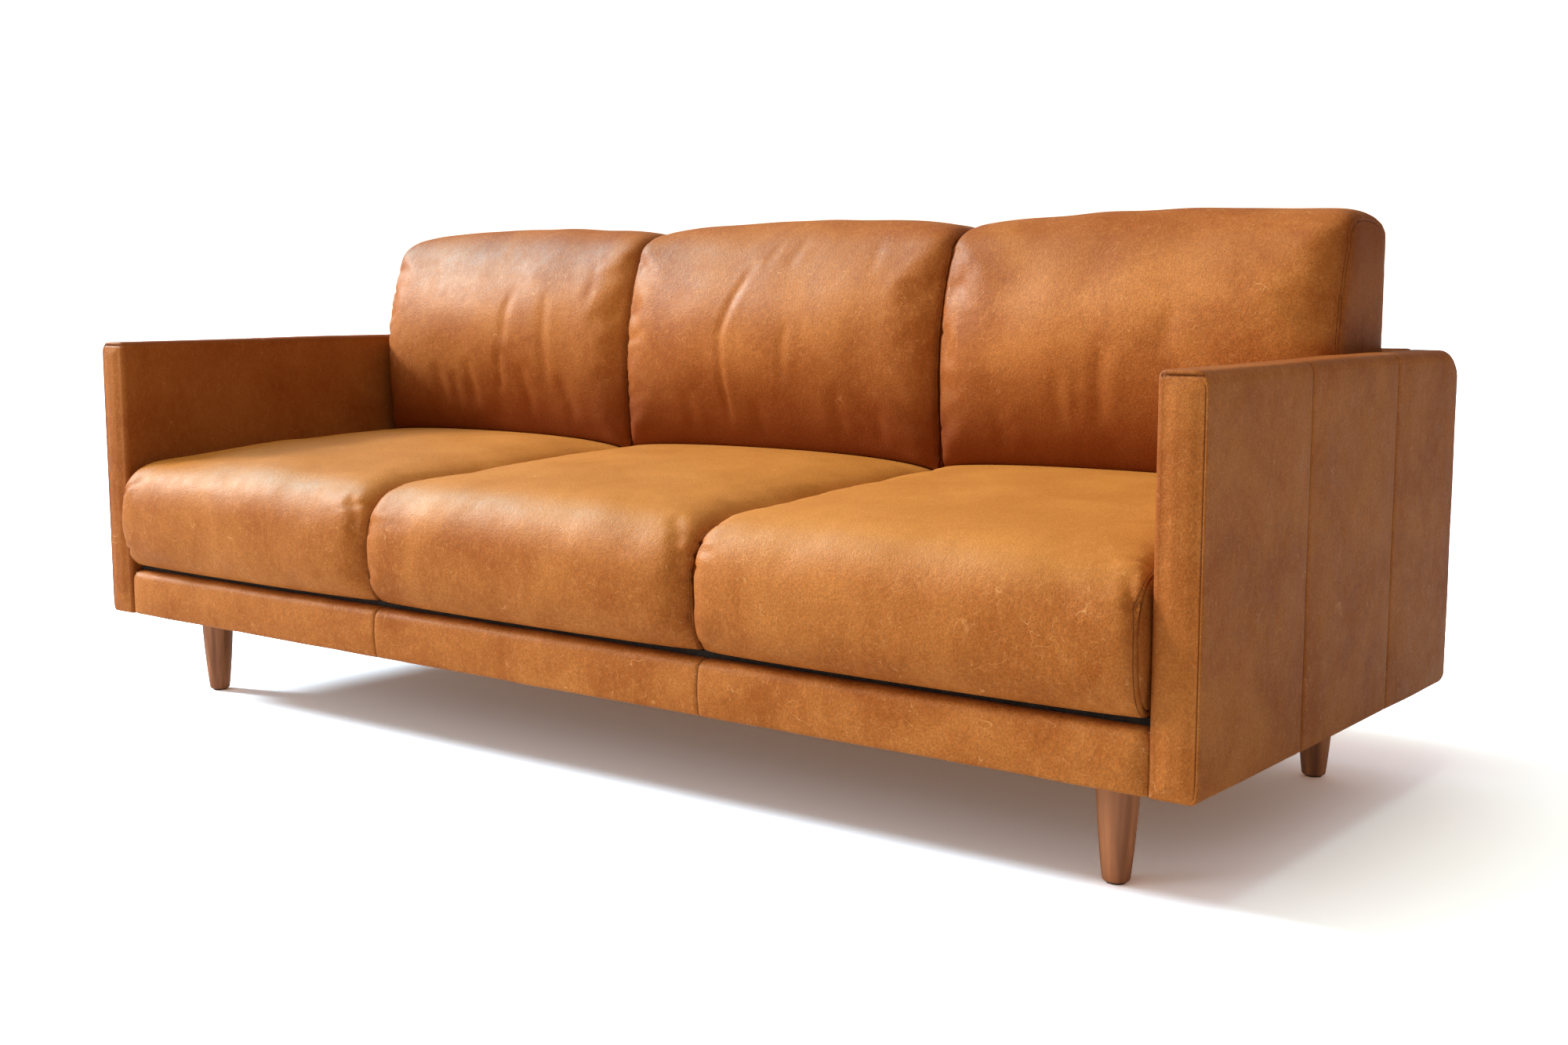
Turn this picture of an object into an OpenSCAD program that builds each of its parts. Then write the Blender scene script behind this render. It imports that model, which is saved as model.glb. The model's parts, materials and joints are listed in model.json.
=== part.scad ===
// Three-seat leather sofa on turned wooden legs.
// Millimetres, +Z up. The origin is on the floor under the middle of the sofa.
// The seats face -Y, and +X is the right-hand arm as seen from the front.

/* [Overall] */
// Width over both arms
sofa_w = 2280; // [1900:10:2500]
// Depth of the arms, front face to rear face
arm_d = 920; // [880:10:960]
// Height of the arms and of the back frame above the floor
arm_h = 682; // [650:2:720]
// Height of the underside above the floor
base_z = 156; // [130:1:180]

/* [Arms and back frame] */
// Thickness of each arm
arm_t = 65; // [60:1:100]
// Thickness of the back frame
back_t = 70; // [70:1:90]
// Height of the front rail with its leather
rail_h = 82; // [82:1:100]
// Radius of the top rear edge of the arms and back
rear_top_r = 50; // [44:1:56]
// Radius of the bottom rear edge of the arms and back
rear_foot_r = 22; // [16:1:26]

/* [Leather and padding] */
// Thickness of the leather
hide_t = 1.5; // [1:0.1:2]
// Thickness of the foam on the arms and the front rail
pad_t = 8; // [6:1:9]

/* [Seat cushions] */
// Height of a seat cushion at its crown
seat_h = 238; // [210:1:245]
// How far its top falls from the crown to the rear
seat_fall = 22; // [10:1:30]
// How far the seat cushions stand out in front of the arms
seat_overhang = 26; // [15:1:40]
// Gap beside each cushion
cushion_gap = 2; // [1:0.5:4]

/* [Back cushions] */
// Height of a back cushion
back_cushion_h = 438; // [380:2:460]
// Thickness of a back cushion at its bottom
back_cushion_t = 211; // [180:1:220]
// How far the front of a back cushion leans back at its top
back_lean = 30; // [15:1:45]

/* [Legs] */
// Diameter of a leg at the top
leg_top_d = 60; // [50:1:66]
// Diameter of a leg at the floor
leg_foot_d = 37; // [30:1:44]
// Leg centre to the outer side of the arm
leg_in_x = 164; // [150:1:180]
// Leg centre to the front or rear face
leg_in_y = 120; // [110:1:130]

/* [Suspension] */
// Springs under each seat
springs_per_seat = 4; // [3:1:5]
// Width of a spring's zigzag
spring_w = 46; // [40:1:50]
// Thickness of the spring wire
wire_t = 3.8; // [3:0.1:4]

/* [Hidden] */
$fn = 64;

// Colours
leather = [0.66, 0.37, 0.17];
timber = [0.80, 0.66, 0.46];
walnut = [0.36, 0.18, 0.09];
steel = [0.62, 0.63, 0.65];
black_cloth = [0.08, 0.08, 0.08];
foam = [0.93, 0.89, 0.74];
webbing = [0.25, 0.24, 0.22];

// Outline of the whole sofa
half_w = sofa_w / 2;
inner_x = half_w - arm_t;
rear_y = (arm_d + seat_overhang) / 2;
arm_y = rear_y - arm_d;
seat_front_y = -rear_y;
back_y = rear_y - back_t;
rail_top_z = base_z + rail_h;

// Timber: 45 mm stock, 35 mm for the rails that only close the base
stock = 45;
thin_stock = 35;
frame_z0 = base_z + hide_t;
timber_top_z = rail_top_z - hide_t;
skin = hide_t + pad_t;

// Arm frame, inside the foam
arm_frame_x0 = inner_x + skin;
arm_frame_x1 = half_w - skin;
arm_frame_y0 = arm_y + skin;
arm_frame_y1 = rear_y - hide_t;
arm_frame_z1 = arm_h - skin;
arm_bottom_rail_h = 65;

// Back frame: leather, foam, webbing, timber, board, leather
web_t = 1.5;
web_gap = 0.1;
board_t = 2;
board_y = rear_y - hide_t - board_t;
back_frame_y = board_y - stock;
top_rail_h = 40;
top_rail_z = arm_frame_z1 - top_rail_h;
deck_top_z = rail_top_z + 11.5;
inside_back_z = deck_top_z + 0.5;
envelope_r = rear_top_r - skin;
post_setback = 60;
foot_fold = 38;

// Seats: three equal bays between the arms
bay_w = 2 * inner_x / 3;
bays = [-1, 0, 1];
cushion_w = (2 * inner_x - 4 * cushion_gap) / 3;
cushion_pitch = cushion_w + cushion_gap;
clearance = 0.5;
cushion_rear_y = back_y - 2;
seat_z0 = deck_top_z + clearance;
nose_z = seat_z0 + 98;
nose_d = 85;
nose_y = seat_front_y + nose_d;
nose_power = 2.6;
crown_y = -60;
crown_z = seat_z0 + seat_h;
back_front_y = cushion_rear_y - back_cushion_t;
rest_y = back_front_y - 8;
rest_z = seat_top_z(rest_y);
back_z0 = seat_top_z(cushion_rear_y) + clearance;
back_top_r = 46;

// Deck over the springs
deck_y0 = arm_y + 23;
clip_h = 5.8;
deck_cloth_t = 1.5;
deck_pad_z0 = timber_top_z + clip_h + 0.2;
spring_y0 = arm_y + 31;
spring_y1 = back_frame_y + 15;
half_loops = 17;

// Legs and their fittings
leg_x = half_w - leg_in_x;
leg_front_y = arm_y + leg_in_y;
leg_rear_y = rear_y - leg_in_y;
leg_places = [for (sx = [-1, 1], y = [leg_front_y, leg_rear_y]) [sx * leg_x, y]];
glide_t = 3;
glide_d = 26;
cloth_t = 1;
plate_z = base_z + cloth_t;
plate_t = 2.5;
plate_w = 76;
hub_r = 7;
hub_h = 10;
bolt_r = 4;
bolt_in_leg = 34;
fit = 0.05;
block_w = 125;
block_t = 45;
screw_spread = 30;

// Bolts that hold the arms to the base
arm_bolt_y = [-200, 0, 240];
arm_bolt_z = base_z + 41;
arm_bolt_l = thin_stock + skin + 30;
washer_t = 1.6;
washer_r = 10;
bolt_hole_r = 4.5;
head_af = 13;
head_h = 5.3;

// ---------- shared shapes ----------

// 2D drawing in (Y, Z), carried from x0 to x1
module along_x(x0, x1) {
    translate([x0, 0, 0])
        rotate([90, 0, 90])
            linear_extrude(x1 - x0)
                children();
}

// The waste to cut off one corner p of a rectangle whose inside lies towards s
module corner_waste(p, s, r) {
    if (r > 0) {
        c = p + s * r;
        difference() {
            translate([min(c.x, p.x - s.x), min(c.y, p.y - s.y)])
                square(r + 1);
            translate(c)
                circle(r);
        }
    }
}

// Rectangle from lo to hi; radii run low-low, high-low, high-high, low-high
module rounded_rect(lo, hi, radii) {
    difference() {
        translate(lo)
            square(hi - lo);
        corner_waste(lo, [1, 1], radii[0]);
        corner_waste([hi.x, lo.y], [-1, 1], radii[1]);
        corner_waste(hi, [-1, -1], radii[2]);
        corner_waste([lo.x, hi.y], [1, -1], radii[3]);
    }
}

// Points of an arc about c, from angle a0 to a1
function arc(c, r, a0, a1, n = 8) = [
    for (i = [0:n])
        let (a = a0 + (a1 - a0) * i / n)
            [c.x + r * cos(a), c.y + r * sin(a)]
];

function reversed(list) = [for (i = [len(list) - 1:-1:0]) list[i]];

// Quarter of a superellipse about c, from its end on the Y axis to its end on the Z axis
function quarter(c, a, b, power, n) = [
    for (i = [0:n])
        let (t = 90 * i / n)
            [c.x + a * pow(cos(t), 2 / power), c.y + b * pow(sin(t), 2 / power)]
];

// The other arm is the mirror image
module on_side(side) {
    if (side < 0) {
        mirror([1, 0, 0])
            children();
    } else {
        children();
    }
}

module at_legs() {
    for (p = leg_places) {
        translate([p.x, p.y, 0])
            children();
    }
}

module cylinder_along_x(r, x0, x1, y, z) {
    translate([x0, y, z])
        rotate([0, 90, 0])
            cylinder(h = x1 - x0, r = r);
}

// Box given by its two corners
module box(lo, hi) {
    translate(lo)
        cube(hi - lo);
}

// ---------- base frame ----------

module front_rail() {
    color(timber)
        box([-inner_x, arm_frame_y0, frame_z0],
            [inner_x, arm_frame_y0 + thin_stock, timber_top_z]);
}

module rear_rail() {
    color(timber)
        along_x(-inner_x, inner_x)
            rounded_rect([back_frame_y, frame_z0], [board_y, timber_top_z], [0, rear_foot_r, 0, 0]);
}

module end_rail(side) {
    color(timber)
        on_side(side)
            difference() {
                box([inner_x - thin_stock, arm_frame_y0 + thin_stock, frame_z0],
                    [inner_x, back_frame_y, timber_top_z]);
                arm_bolt_holes(bolt_hole_r);
            }
}

module cross_rails() {
    color(timber)
        for (sx = [-1, 1]) {
            box([sx * bay_w / 2 - stock / 2, arm_frame_y0 + thin_stock, frame_z0],
                [sx * bay_w / 2 + stock / 2, back_frame_y, timber_top_z - 12]);
        }
}

module leg_blocks() {
    x1 = inner_x - thin_stock;
    y0 = arm_frame_y0 + thin_stock;
    z0 = plate_z + plate_t;
    color(timber)
        difference() {
            for (sx = [-1, 1], y = [y0, back_frame_y - block_w]) {
                box([sx > 0 ? x1 - block_w : -x1, y, z0],
                    [sx > 0 ? x1 : block_w - x1, y + block_w, z0 + block_t]);
            }
            at_legs()
                cylinder(h = z0 + hub_h + 15, r = hub_r + 1);
            at_screws()
                cylinder(h = z0 + 20.5, r = 2 + fit);
        }
}

// ---------- legs ----------

module at_screws() {
    at_legs()
        for (sx = [-1, 1], sy = [-1, 1]) {
            translate([sx * screw_spread, sy * screw_spread, 0])
                children();
        }
}

module leg_plates() {
    color(steel)
        difference() {
            union() {
                at_legs()
                    translate([-plate_w / 2, -plate_w / 2, plate_z])
                        cube([plate_w, plate_w, plate_t]);
                at_legs()
                    translate([0, 0, plate_z])
                        cylinder(h = plate_t + hub_h, r = hub_r);
            }
            at_legs()
                cylinder(h = plate_z + plate_t + hub_h + 1, r = bolt_r + fit);
            at_screws()
                translate([0, 0, plate_z])
                    cylinder(h = plate_t, r1 = 4 + fit, r2 = 2 + fit);
        }
}

module plate_screws() {
    color(steel)
        at_screws() {
            translate([0, 0, plate_z])
                cylinder(h = plate_t, r1 = 4, r2 = 2);
            translate([0, 0, plate_z + plate_t])
                cylinder(h = 20, r = 2);
        }
}

module hanger_bolts() {
    color(steel)
        at_legs()
            translate([0, 0, plate_z - bolt_in_leg])
                cylinder(h = bolt_in_leg + plate_t + hub_h + 4, r = bolt_r);
}

// A turned leg, slightly fuller than a cone, with an eased foot
module leg(sx, y) {
    top = leg_top_d / 2;
    foot = leg_foot_d / 2;
    steps = 12;
    ease = 2;
    fullness = 0.6;
    side = [
        for (i = [1:steps])
            let (t = i / steps)
                [foot + (top - foot) * (t + fullness * t * (1 - t)), glide_t + t * (plate_z - glide_t)]
    ];
    color(walnut)
        translate([sx * leg_x, y, 0])
            difference() {
                rotate_extrude()
                    polygon(concat(
                        [[0, plate_z], [0, glide_t], [foot - ease, glide_t], [foot, glide_t + ease]],
                        side));
                translate([0, 0, plate_z - bolt_in_leg - 1])
                    cylinder(h = bolt_in_leg + 2, r = bolt_r + fit);
            }
}

module foot_glides() {
    color(black_cloth)
        at_legs()
            cylinder(h = glide_t, r = glide_d / 2);
}

// ---------- seat suspension ----------

// Zigzag spring wire in plan: round loops left and right along Y
function zigzag(w, y0, y1, n, edge) = [
    for (i = [0:n * 4])
        let (t = i / 4)
        let (a = 180 * t)
        let (slope = cos(a) * w / 2 * PI)
        let (pitch = (y1 - y0) / n)
        let (len = norm([slope, pitch]))
            [w / 2 * sin(a) + edge * pitch / len, y0 + (y1 - y0) * t / n - edge * slope / len]
];

spring_x = [
    for (bay = bays, k = [0:springs_per_seat - 1])
        bay * bay_w + ((k + 0.5) / springs_per_seat - 0.5) * (bay_w - 50)
];

module seat_springs() {
    color(steel)
        for (x = spring_x) {
            translate([x, 0, timber_top_z + 1]) {
                linear_extrude(wire_t)
                    polygon(concat(
                        zigzag(spring_w, spring_y0, spring_y1, half_loops, wire_t / 2),
                        reversed(zigzag(spring_w, spring_y0, spring_y1, half_loops, -wire_t / 2))));
                for (y = [spring_y0, spring_y1]) {
                    translate([-16, y - wire_t / 2, 0])
                        cube([32, wire_t, wire_t]);
                }
            }
        }
}

// Folded steel clip round each end of a spring
module spring_clips() {
    slot_h = wire_t + 0.2;
    color(steel)
        for (x = spring_x, end = [-1, 1]) {
            y = end < 0 ? spring_y0 : spring_y1;
            translate([x - 12, y, timber_top_z])
                difference() {
                    translate([0, -5, 0])
                        cube([24, 10, clip_h]);
                    translate([-1, end < 0 ? -2 : -6, 0.9])
                        cube([26, 8, slot_h]);
                }
        }
}

module tie_wires() {
    color(steel)
        for (y = [-140, 160]) {
            cylinder_along_x(1.75, -inner_x + thin_stock, inner_x - thin_stock, y,
                timber_top_z + 1 - 1.75 - 0.05);
        }
}

module deck_pad() {
    color(foam)
        box([-inner_x + 1, deck_y0 + deck_cloth_t, deck_pad_z0],
            [inner_x - 1, back_y - 1, deck_top_z - deck_cloth_t]);
}

// Black cloth over the springs, turned down behind the front rail's leather
module deck_cloth() {
    color(black_cloth) {
        box([-inner_x + 1, deck_y0, deck_top_z - deck_cloth_t], [inner_x - 1, back_y - 1, deck_top_z]);
        box([-inner_x + 1, deck_y0, timber_top_z], [inner_x - 1, deck_y0 + deck_cloth_t, deck_top_z - 1]);
    }
}

module dust_cover() {
    color(black_cloth)
        difference() {
            box([-inner_x + 2, arm_y + 50, base_z], [inner_x - 2, rear_y - 40, base_z + cloth_t]);
            at_legs()
                cylinder(h = base_z + 2, r = leg_top_d / 2 + 2);
        }
}

// ---------- back frame ----------

// Outline in (Y, Z) of the timber, board and webbing inside the back
module back_envelope() {
    rounded_rect([back_frame_y - 2 * (web_t + web_gap), frame_z0], [rear_y - hide_t, arm_frame_z1],
        [0, rear_foot_r, envelope_r, 0]);
}

module back_outline(inset) {
    rounded_rect([back_y + inset, base_z + inset], [rear_y - inset, arm_h - inset],
        [0, rear_foot_r - inset, rear_top_r - inset, 12 - inset]);
}

module back_top_rail() {
    color(timber)
        along_x(-inner_x, inner_x)
            rounded_rect([back_frame_y, top_rail_z], [board_y, arm_frame_z1],
                [0, 0, envelope_r - 2, 0]);
}

module back_posts() {
    color(timber)
        for (x = [-inner_x, -bay_w / 2 - stock / 2, bay_w / 2 - stock / 2, inner_x - stock]) {
            box([x, back_frame_y, timber_top_z], [x + stock, board_y, top_rail_z]);
        }
}

// Three upright straps behind each back cushion, with one across
module back_webbing() {
    strap_w = 50;
    strap_z = 450;
    color(webbing) {
        for (bay = bays, k = [-1, 0, 1]) {
            x = bay * bay_w + k * 200;
            box([x - strap_w / 2, back_frame_y - web_t, timber_top_z + 6],
                [x + strap_w / 2, back_frame_y, arm_frame_z1 - 8]);
        }
        box([-inner_x + 10, back_frame_y - 2 * web_t - web_gap, strap_z],
            [inner_x - 10, back_frame_y - web_t - web_gap, strap_z + strap_w]);
    }
}

module back_board() {
    color(timber)
        box([-inner_x + 5, board_y, base_z + rear_foot_r], [inner_x - 5, board_y + board_t, top_rail_z - 8]);
}

module back_pad() {
    color(foam)
        along_x(-inner_x, inner_x)
            difference() {
                intersection() {
                    back_outline(hide_t);
                    translate([back_y, inside_back_z])
                        square([back_t - envelope_r, arm_h]);
                }
                back_envelope();
            }
}

// Shell of leather round the back frame
module back_shell() {
    difference() {
        back_outline(0);
        back_outline(hide_t);
    }
}

module inside_back_cover() {
    color(leather)
        along_x(-inner_x, inner_x)
            intersection() {
                back_shell();
                translate([back_y - 1, inside_back_z])
                    square([rear_y - rear_top_r - back_y + 1, arm_h]);
            }
}

module outside_back_cover() {
    color(leather)
        along_x(-inner_x, inner_x)
            intersection() {
                back_shell();
                union() {
                    translate([rear_y - rear_top_r, base_z + foot_fold])
                        square([rear_top_r + 1, arm_h]);
                    translate([rear_y - foot_fold, base_z - 1])
                        square(foot_fold + 1);
                }
            }
}

// ---------- arms ----------

// Side outline in (Y, Z) of an arm, with the leather and foam taken off as inset
module arm_outline(y0, inset) {
    rounded_rect([y0, base_z + inset], [rear_y - inset, arm_h - inset],
        [0, rear_foot_r - inset, rear_top_r - inset, 0]);
}

module arm_envelope() {
    rounded_rect([arm_frame_y0, frame_z0], [arm_frame_y1, arm_frame_z1],
        [0, rear_foot_r, envelope_r, 0]);
}

module arm_member(y0, z0, y1, z1) {
    along_x(arm_frame_x0, arm_frame_x1)
        intersection() {
            arm_envelope();
            translate([y0, z0])
                square([y1 - y0, z1 - z0]);
        }
}

module arm_bolt_holes(r) {
    for (y = arm_bolt_y) {
        cylinder_along_x(r, inner_x - thin_stock - 1, inner_x + skin + 31, y, arm_bolt_z);
    }
}

// Front post, rear post and the one that the back frame meets
module arm_posts(side) {
    z0 = frame_z0 + arm_bottom_rail_h;
    z1 = arm_frame_z1 - stock;
    color(timber)
        on_side(side)
            for (y = [arm_frame_y0, back_frame_y - stock - post_setback, arm_frame_y1 - stock]) {
                arm_member(y, z0, y + stock, z1);
            }
}

module arm_top_rail(side) {
    color(timber)
        on_side(side)
            arm_member(arm_frame_y0, arm_frame_z1 - stock, arm_frame_y1, arm_frame_z1);
}

module arm_bottom_rail(side) {
    color(timber)
        on_side(side)
            difference() {
                arm_member(arm_frame_y0, frame_z0, arm_frame_y1, frame_z0 + arm_bottom_rail_h);
                arm_bolt_holes(bolt_r + fit);
            }
}

// Foam sheets on both faces, the top and the front
module arm_pad(side) {
    x0 = inner_x + hide_t;
    x1 = half_w - hide_t;
    color(foam)
        on_side(side)
            difference() {
                along_x(x0, x1)
                    arm_outline(arm_y + hide_t, hide_t);
                along_x(arm_frame_x0, arm_frame_x1)
                    rounded_rect([arm_frame_y0, base_z - 1], [rear_y + 1, arm_frame_z1], [0, 0, 0, 0]);
                arm_bolt_holes(bolt_hole_r);
            }
}

// Leather over both faces, the top, the rear and the underside
module arm_cover(side) {
    color(leather)
        on_side(side)
            difference() {
                along_x(inner_x, half_w)
                    arm_outline(arm_y + hide_t, 0);
                along_x(inner_x + hide_t, half_w - hide_t)
                    arm_outline(arm_y - 1, hide_t);
                arm_bolt_holes(bolt_hole_r);
            }
}

module arm_front_panel(side) {
    color(leather)
        on_side(side)
            box([inner_x, arm_y, base_z], [half_w, arm_y + hide_t, arm_h]);
}

module arm_bolts() {
    x0 = inner_x - thin_stock - washer_t;
    color(steel)
        for (side = [-1, 1]) {
            on_side(side)
                for (y = arm_bolt_y) {
                    cylinder_along_x(bolt_r, x0, x0 + washer_t + arm_bolt_l, y, arm_bolt_z);
                    translate([x0 - head_h, y, arm_bolt_z])
                        rotate([0, 90, 0])
                            cylinder(h = head_h, d = head_af / cos(30), $fn = 6);
                }
        }
}

module arm_washers() {
    x0 = inner_x - thin_stock - washer_t;
    color(steel)
        for (side = [-1, 1]) {
            on_side(side)
                for (y = arm_bolt_y) {
                    difference() {
                        cylinder_along_x(washer_r, x0, x0 + washer_t, y, arm_bolt_z);
                        cylinder_along_x(bolt_r + 0.2, x0 - 1, x0 + washer_t + 1, y, arm_bolt_z);
                    }
                }
        }
}

// ---------- front rail upholstery ----------

module rail_pad() {
    color(foam)
        box([-inner_x, arm_y + hide_t, frame_z0], [inner_x, arm_frame_y0, timber_top_z]);
}

// Leather round the front rail, turned over its top and under its bottom
module rail_cover() {
    color(leather)
        along_x(-inner_x, inner_x)
            difference() {
                rounded_rect([arm_y, base_z], [arm_y + 44, rail_top_z], [3, 0, 0, 3]);
                translate([arm_y + hide_t, frame_z0])
                    square([60, rail_h - 2 * hide_t]);
                translate([deck_y0, rail_top_z - 10])
                    square([60, 20]);
            }
}

// ---------- cushions ----------

// Top of a seat cushion behind its crown
function seat_top_z(y) = crown_z - seat_fall * pow((y - crown_y) / (cushion_rear_y - crown_y), 2);

// Seat cushion seen from the side: round nose, crowned top, straight where a back cushion stands
function seat_profile(inset) =
    let (crown_front = crown_y - seat_front_y)
    let (fall_n = 6)
    concat(
        reversed(quarter([nose_y, nose_z], inset - nose_d, inset + seat_z0 - nose_z, nose_power, 8)),
        [
            for (p = quarter([crown_y, nose_z], inset - crown_front, crown_z - nose_z - inset, nose_power, 16))
                if (p.x > seat_front_y + inset + 0.01) p
        ],
        [
            for (i = [1:fall_n])
                let (y = crown_y + (rest_y - crown_y) * i / fall_n)
                    [y, seat_top_z(y) - inset]
        ],
        [
            [cushion_rear_y - inset, seat_top_z(cushion_rear_y) - inset],
            [cushion_rear_y - inset, seat_z0 + inset]
        ]
    );

module seat_solid(inset) {
    w = cushion_w / 2 - inset;
    intersection() {
        along_x(-w, w)
            polygon(seat_profile(inset));
        translate([0, 0, seat_z0 - 1])
            linear_extrude(seat_h + 2)
                rounded_rect([-w, seat_front_y + inset], [w, cushion_rear_y - inset],
                    [30 - inset, 6, 6, 30 - inset]);
    }
}

module seat_cover(bay) {
    color(leather)
        translate([bay * cushion_pitch, 0, 0])
            difference() {
                seat_solid(0);
                seat_solid(hide_t);
            }
}

module seat_core(bay) {
    color(foam)
        translate([bay * cushion_pitch, 0, 0])
            seat_solid(hide_t);
}

// Height of the straight part of the seat's top, which a back cushion stands on
function rest_top_z(y) =
    rest_z + (seat_top_z(cushion_rear_y) - rest_z) * (y - rest_y) / (cushion_rear_y - rest_y);

// Back cushion seen from the side: flat rear, full front that leans back to a round top
function back_front(t) = back_front_y + back_lean * t * t - 12 * sin(180 * t);

function back_profile(inset) =
    let (top = back_z0 + back_cushion_h - inset)
    let (r = back_top_r - inset)
    let (rear = cushion_rear_y - inset)
    let (bend_t = 1 - back_top_r / back_cushion_h)
    let (front_n = 12)
    concat(
        [[rear, back_z0 + inset], [back_front_y + inset, rest_top_z(back_front_y) + clearance + inset]],
        [
            for (i = [1:front_n])
                let (t = bend_t * i / front_n)
                    [back_front(t) + inset, back_z0 + t * back_cushion_h]
        ],
        arc([back_front(bend_t) + inset + r, top - r], r, 180, 90),
        arc([rear - r, top - r], r, 90, 0)
    );

module back_solid(inset) {
    w = cushion_w / 2 - inset;
    intersection() {
        along_x(-w, w)
            polygon(back_profile(inset));
        translate([0, cushion_rear_y + 1, 0])
            rotate([90, 0, 0])
                linear_extrude(back_cushion_t + 40)
                    rounded_rect([-w, back_z0 + inset], [w, back_z0 + back_cushion_h - inset],
                        [6, 6, 36 - inset, 36 - inset]);
    }
}

module back_cover(bay) {
    color(leather)
        translate([bay * cushion_pitch, 0, 0])
            difference() {
                back_solid(0);
                back_solid(hide_t);
            }
}

module back_fill(bay) {
    color(foam)
        translate([bay * cushion_pitch, 0, 0])
            back_solid(hide_t);
}

// ---------- what is drawn ----------

front_rail();
rear_rail();
end_rail(-1);  // end_rail_left
end_rail(1);  // end_rail_right
cross_rails();
leg_blocks();
leg_plates();
plate_screws();
hanger_bolts();
leg(-1, leg_front_y);  // leg_front_left
leg(1, leg_front_y);  // leg_front_right
leg(-1, leg_rear_y);  // leg_rear_left
leg(1, leg_rear_y);  // leg_rear_right
foot_glides();
seat_springs();
spring_clips();
tie_wires();
deck_pad();
deck_cloth();
dust_cover();
back_top_rail();
back_posts();
back_webbing();
back_board();
back_pad();
inside_back_cover();
outside_back_cover();
arm_posts(-1);  // arm_posts_left
arm_posts(1);  // arm_posts_right
arm_top_rail(-1);  // arm_top_rail_left
arm_top_rail(1);  // arm_top_rail_right
arm_bottom_rail(-1);  // arm_bottom_rail_left
arm_bottom_rail(1);  // arm_bottom_rail_right
arm_pad(-1);  // arm_pad_left
arm_pad(1);  // arm_pad_right
arm_cover(-1);  // arm_cover_left
arm_cover(1);  // arm_cover_right
arm_front_panel(-1);  // arm_front_panel_left
arm_front_panel(1);  // arm_front_panel_right
arm_bolts();
arm_washers();
rail_pad();
rail_cover();
seat_cover(-1);  // seat_cover_left
seat_cover(0);  // seat_cover_centre
seat_cover(1);  // seat_cover_right
seat_core(-1);  // seat_core_left
seat_core(0);  // seat_core_centre
seat_core(1);  // seat_core_right
back_cover(-1);  // back_cover_left
back_cover(0);  // back_cover_centre
back_cover(1);  // back_cover_right
back_fill(-1);  // back_fill_left
back_fill(0);  // back_fill_centre
back_fill(1);  // back_fill_right
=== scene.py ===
"""The looks of a three-seat leather sofa, built round its CAD frame.

Metres, +Z up. The seats face -Y, and +X is the right-hand arm as seen from the front.
Every upholstered piece is a skin of rings: a closed section that changes as it is carried along an axis.
"""
import json
import math

import bpy
import numpy as np
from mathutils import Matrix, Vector
from mathutils.kdtree import KDTree


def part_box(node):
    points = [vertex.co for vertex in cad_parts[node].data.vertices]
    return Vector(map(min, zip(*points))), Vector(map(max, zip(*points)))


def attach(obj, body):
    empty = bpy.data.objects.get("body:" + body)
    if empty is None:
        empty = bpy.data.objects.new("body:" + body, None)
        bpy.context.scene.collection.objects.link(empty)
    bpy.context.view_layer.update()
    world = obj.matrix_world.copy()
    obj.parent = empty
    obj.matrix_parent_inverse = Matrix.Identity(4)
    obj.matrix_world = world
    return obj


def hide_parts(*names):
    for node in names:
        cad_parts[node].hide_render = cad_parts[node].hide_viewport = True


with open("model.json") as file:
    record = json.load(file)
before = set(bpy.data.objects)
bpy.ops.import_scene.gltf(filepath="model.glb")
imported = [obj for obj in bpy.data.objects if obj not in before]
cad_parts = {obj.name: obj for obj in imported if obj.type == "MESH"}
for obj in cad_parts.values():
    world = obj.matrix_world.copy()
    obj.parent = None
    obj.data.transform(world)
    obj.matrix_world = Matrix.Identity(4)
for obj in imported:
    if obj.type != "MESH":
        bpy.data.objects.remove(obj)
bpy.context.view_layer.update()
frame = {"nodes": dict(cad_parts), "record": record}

MM = 0.001
SIDES = {"left": -1, "right": 1}
BAYS = {"left": -1, "centre": 0, "right": 1}

# ---------- places, from the frame ----------

arm_low, arm_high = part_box("arm_cover_right")
panel_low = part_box("arm_front_panel_right")[0]
rail_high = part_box("rail_cover")[1]
inside_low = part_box("inside_back_cover")[0]
seat_low, seat_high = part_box("seat_cover_centre")
cushion_low, cushion_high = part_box("back_cover_centre")
half_cushion = seat_high.x
inner_x = arm_low.x
outer_x = arm_high.x
front_y = panel_low.y
rear_y = arm_high.y
base_z = arm_low.z
arm_z = arm_high.z
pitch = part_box("seat_cover_right")[1].x - seat_high.x
bay_edge = pitch / 2

REAR_TOP_R = 50 * MM
REAR_FOOT_R = 23 * MM


# ---------- rings and skins ----------

def smooth_step(x):
    x = np.clip(x, 0, 1)
    return x * x * (3 - 2 * x)


def quarter(power, count):
    """Shares along the two axes of a quarter superellipse, from its first axis to its second."""
    angle = np.linspace(0, math.pi / 2, count)
    return np.cos(angle) ** (2 / power), np.sin(angle) ** (2 / power)


def spaced(low, high, step):
    return np.linspace(low, high, max(2, round((high - low) / step) + 1))


SEAM_OFFSETS = (0, 1.2, 2.6, 4.4, 7, 11)


def spread(low, high, step, seams):
    """Places from low to high at about step, and closer ones at SEAM_OFFSETS in mm beside each seam."""
    close = [s + sign * o * MM for s in seams for o in SEAM_OFFSETS for sign in (-1, 1)]
    reach = max(SEAM_OFFSETS) * MM
    even = [p for p in spaced(low, high, step) if all(abs(p - s) > reach * 1.3 for s in seams)]
    inside = [p for p in close if low - 1e-9 <= p <= high + 1e-9]
    return np.array(sorted(set(np.round(even + inside, 6))))


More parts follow.
